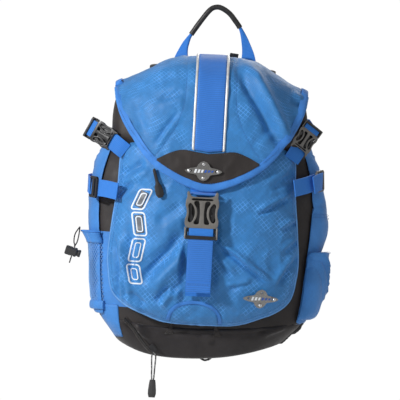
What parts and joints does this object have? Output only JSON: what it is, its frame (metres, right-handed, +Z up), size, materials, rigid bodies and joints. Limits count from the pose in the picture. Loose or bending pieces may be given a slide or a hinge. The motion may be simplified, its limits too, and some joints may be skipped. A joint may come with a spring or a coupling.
{
  "type": "ski backpack",
  "caption": "Ski day pack with a buckled drape lid, bulging front pocket, side pockets, compression straps, haul loop, padded back panel, shoulder straps and hip wings.",
  "frame": {"origin": "the inner top of the haul loop, where a hook holds the hanging pack", "axes": "+Z up along the hanging pack, +Y to the wearer's back, +X to the right as seen from the front"},
  "size_m": [0.4004, 0.3015, 0.5972],
  "materials": {
    "ripstop": "blue diamond ripstop nylon, satin",
    "nylon": "blue plain nylon",
    "webbing": "blue ribbed polypropylene webbing",
    "black_fabric": "black coated polyester",
    "mesh": "blue open mesh",
    "cord": "braided cord, black and grey",
    "grey_plastic": "moulded grey acetal, satin",
    "black_plastic": "moulded black acetal, satin",
    "rubber_sleeve": "smooth black rubber tube",
    "badge": "printed bright plate, satin",
    "steel": "bright steel",
    "zip_tape": "black zip tape and coil",
    "frame_plastic": "white polyethylene sheet"
  },
  "bodies": {
    "pack": {"main_bag": "nylon", "base_panel": "black_fabric", "side_panel_left": "nylon", "side_panel_right": "nylon", "front_pocket": "ripstop", "arch_patch": "webbing", "back_panel": "black_fabric", "frame_sheet": "frame_plastic", "mesh_pocket": "mesh", "side_pocket_right": "nylon", "front_badge": "badge", "front_badge_rivets": "steel", "front_strap": "webbing", "upper_tab_left": "webbing", "upper_tab_right": "webbing", "upper_strap_left": "webbing", "upper_strap_right": "webbing", "upper_buckle_left_female": "black_plastic", "upper_buckle_right_female": "grey_plastic", "lower_strap_left": "webbing", "lower_strap_right": "webbing", "ladder_lock_left": "black_plastic", "ladder_lock_right": "grey_plastic", "front_zip": "zip_tape", "base_zip": "zip_tape"},
    "lid": {"lid": "ripstop", "lid_binding": "webbing", "lid_stripe": "webbing", "lid_panel": "black_fabric", "lid_badge": "badge", "lid_badge_rivets": "steel", "lid_tab": "webbing", "front_buckle_female": "grey_plastic"},
    "front_buckle_slide": {"front_buckle_male": "grey_plastic", "front_strap_tail": "webbing"},
    "front_prong_left": {"front_buckle_prong_left": "grey_plastic"},
    "front_prong_right": {"front_buckle_prong_right": "grey_plastic"},
    "upper_male_left": {"upper_buckle_left_male": "black_plastic"},
    "upper_left_prong_left": {"upper_buckle_left_prong_left": "black_plastic"},
    "upper_left_prong_right": {"upper_buckle_left_prong_right": "black_plastic"},
    "upper_male_right": {"upper_buckle_right_male": "grey_plastic"},
    "upper_right_prong_left": {"upper_buckle_right_prong_left": "grey_plastic"},
    "upper_right_prong_right": {"upper_buckle_right_prong_right": "grey_plastic"},
    "front_slider": {"front_zip_slider": "black_plastic"},
    "front_pull": {"front_zip_pull": "black_plastic"},
    "base_slider": {"base_zip_slider": "black_plastic"},
    "base_pull": {"base_zip_cord": "cord", "base_zip_grip": "black_plastic"},
    "cord_lock": {"cord_lock_barrel": "black_plastic", "mesh_pocket_drawcord": "cord", "cord_lock_spring": "steel"},
    "cord_lock_button": {"cord_lock_plunger": "black_plastic"},
    "haul_loop": {"haul_loop": "webbing", "haul_loop_sleeve": "rubber_sleeve"},
    "shoulder_left": {"shoulder_strap_left": "black_fabric", "shoulder_webbing_left": "black_fabric"},
    "shoulder_right": {"shoulder_strap_right": "black_fabric", "shoulder_webbing_right": "black_fabric"},
    "wing_left": {"hip_belt_wing_left": "black_fabric"},
    "wing_right": {"hip_belt_wing_right": "black_fabric"}
  },
  "joints": [
    {"name": "lid_hinge", "type": "hinge", "parent": "pack", "child": "lid", "pos_m": [0, -0.024, -0.081], "axis": [-1, 0, 0], "range_deg": [0, 90]},
    {"name": "front_buckle_release", "type": "slide", "parent": "pack", "child": "front_buckle_slide", "axis": [0, 0, -1], "range_m": [0, 0.04]},
    {"name": "front_prong_squeeze", "type": "hinge", "parent": "front_buckle_slide", "child": "front_prong_left", "pos_m": [-0.0185, -0.21, -0.3232], "axis": [0, 1, 0], "range_deg": [0, 8], "stiffness_Nm_per_rad": 0.2},
    {"name": "front_prong_right_squeeze", "type": "hinge", "parent": "front_buckle_slide", "child": "front_prong_right", "pos_m": [0.0085, -0.21, -0.3232], "axis": [0, 1, 0], "range_deg": [-8, 0], "stiffness_Nm_per_rad": 0.2},
    {"name": "upper_left_release", "type": "slide", "parent": "pack", "child": "upper_male_left", "axis": [-0.8301, 0.3, 0.47], "range_m": [0, 0.026]},
    {"name": "upper_left_prong_squeeze", "type": "hinge", "parent": "upper_male_left", "child": "upper_left_prong_left", "pos_m": [-0.16279, -0.14901, -0.18865], "axis": [0.3446, 0.9387, 0.0093], "range_deg": [0, 8], "stiffness_Nm_per_rad": 0.05},
    {"name": "upper_left_prong_right_squeeze", "type": "hinge", "parent": "upper_male_left", "child": "upper_left_prong_right", "pos_m": [-0.1706, -0.14598, -0.20437], "axis": [0.3446, 0.9387, 0.0093], "range_deg": [-8, 0], "stiffness_Nm_per_rad": 0.05},
    {"name": "upper_right_release", "type": "slide", "parent": "pack", "child": "upper_male_right", "axis": [0.4892, 0.2396, 0.8386], "range_m": [0, 0.026]},
    {"name": "upper_right_prong_squeeze", "type": "hinge", "parent": "upper_male_right", "child": "upper_right_prong_left", "pos_m": [0.15369, -0.1455, -0.19004], "axis": [-0.3843, 0.9224, -0.0393], "range_deg": [0, 8], "stiffness_Nm_per_rad": 0.05},
    {"name": "upper_right_prong_right_squeeze", "type": "hinge", "parent": "upper_male_right", "child": "upper_right_prong_right", "pos_m": [0.13974, -0.1509, -0.18036], "axis": [-0.3843, 0.9224, -0.0393], "range_deg": [-8, 0], "stiffness_Nm_per_rad": 0.05},
    {"name": "front_zip_slide", "type": "slide", "parent": "pack", "child": "front_slider", "axis": [-0.9846, 0.1336, -0.1125], "range_m": [0, 0.014]},
    {"name": "front_zip_pull_swing", "type": "hinge", "parent": "front_slider", "child": "front_pull", "pos_m": [-0.08, -0.1946, -0.2475], "axis": [-1, 0, 0], "range_deg": [0, 50]},
    {"name": "base_zip_slide", "type": "slide", "parent": "pack", "child": "base_slider", "axis": [-0.5802, -0.3342, 0.7427], "range_m": [0, 0.018]},
    {"name": "base_zip_pull_swing", "type": "hinge", "parent": "base_slider", "child": "base_pull", "pos_m": [-0.066, -0.13103, -0.523], "axis": [1, 0, 0], "range_deg": [-60, 40]},
    {"name": "cord_lock_swing", "type": "hinge", "parent": "pack", "child": "cord_lock", "pos_m": [-0.1875, -0.09, -0.34], "axis": [1, 0, 0], "range_deg": [-45, 45]},
    {"name": "cord_lock_press", "type": "slide", "parent": "cord_lock", "child": "cord_lock_button", "axis": [-0.9659, 0, 0.2588], "range_m": [0, 0.0026], "stiffness_N_per_m": 250},
    {"name": "haul_loop_fold", "type": "hinge", "parent": "pack", "child": "haul_loop", "pos_m": [0, 0, -0.1006], "axis": [-1, 0, 0], "range_deg": [0, 55]},
    {"name": "shoulder_left_swing", "type": "hinge", "parent": "pack", "child": "shoulder_left", "pos_m": [-0.116, 0.008, -0.116], "axis": [0.0583, 0.0032, 0.9983], "range_deg": [0, 30]},
    {"name": "shoulder_right_swing", "type": "hinge", "parent": "pack", "child": "shoulder_right", "pos_m": [0.116, 0.008, -0.116], "axis": [0.0583, -0.0032, -0.9983], "range_deg": [0, 30]},
    {"name": "wing_right_fold", "type": "hinge", "parent": "pack", "child": "wing_right", "pos_m": [0.104, 0.012, -0.47], "axis": [0, 0, 1], "range_deg": [0, 110]},
    {"name": "wing_left_fold", "type": "hinge", "parent": "pack", "child": "wing_left", "pos_m": [-0.104, 0.012, -0.47], "axis": [0, 0, -1], "range_deg": [-118, 15]}
  ],
  "couplings": [
    {"joint": "front_prong_right_squeeze", "follows": "front_prong_squeeze", "ratio": -1},
    {"joint": "upper_left_prong_right_squeeze", "follows": "upper_left_prong_squeeze", "ratio": -1},
    {"joint": "upper_right_prong_right_squeeze", "follows": "upper_right_prong_squeeze", "ratio": -1}
  ]
}
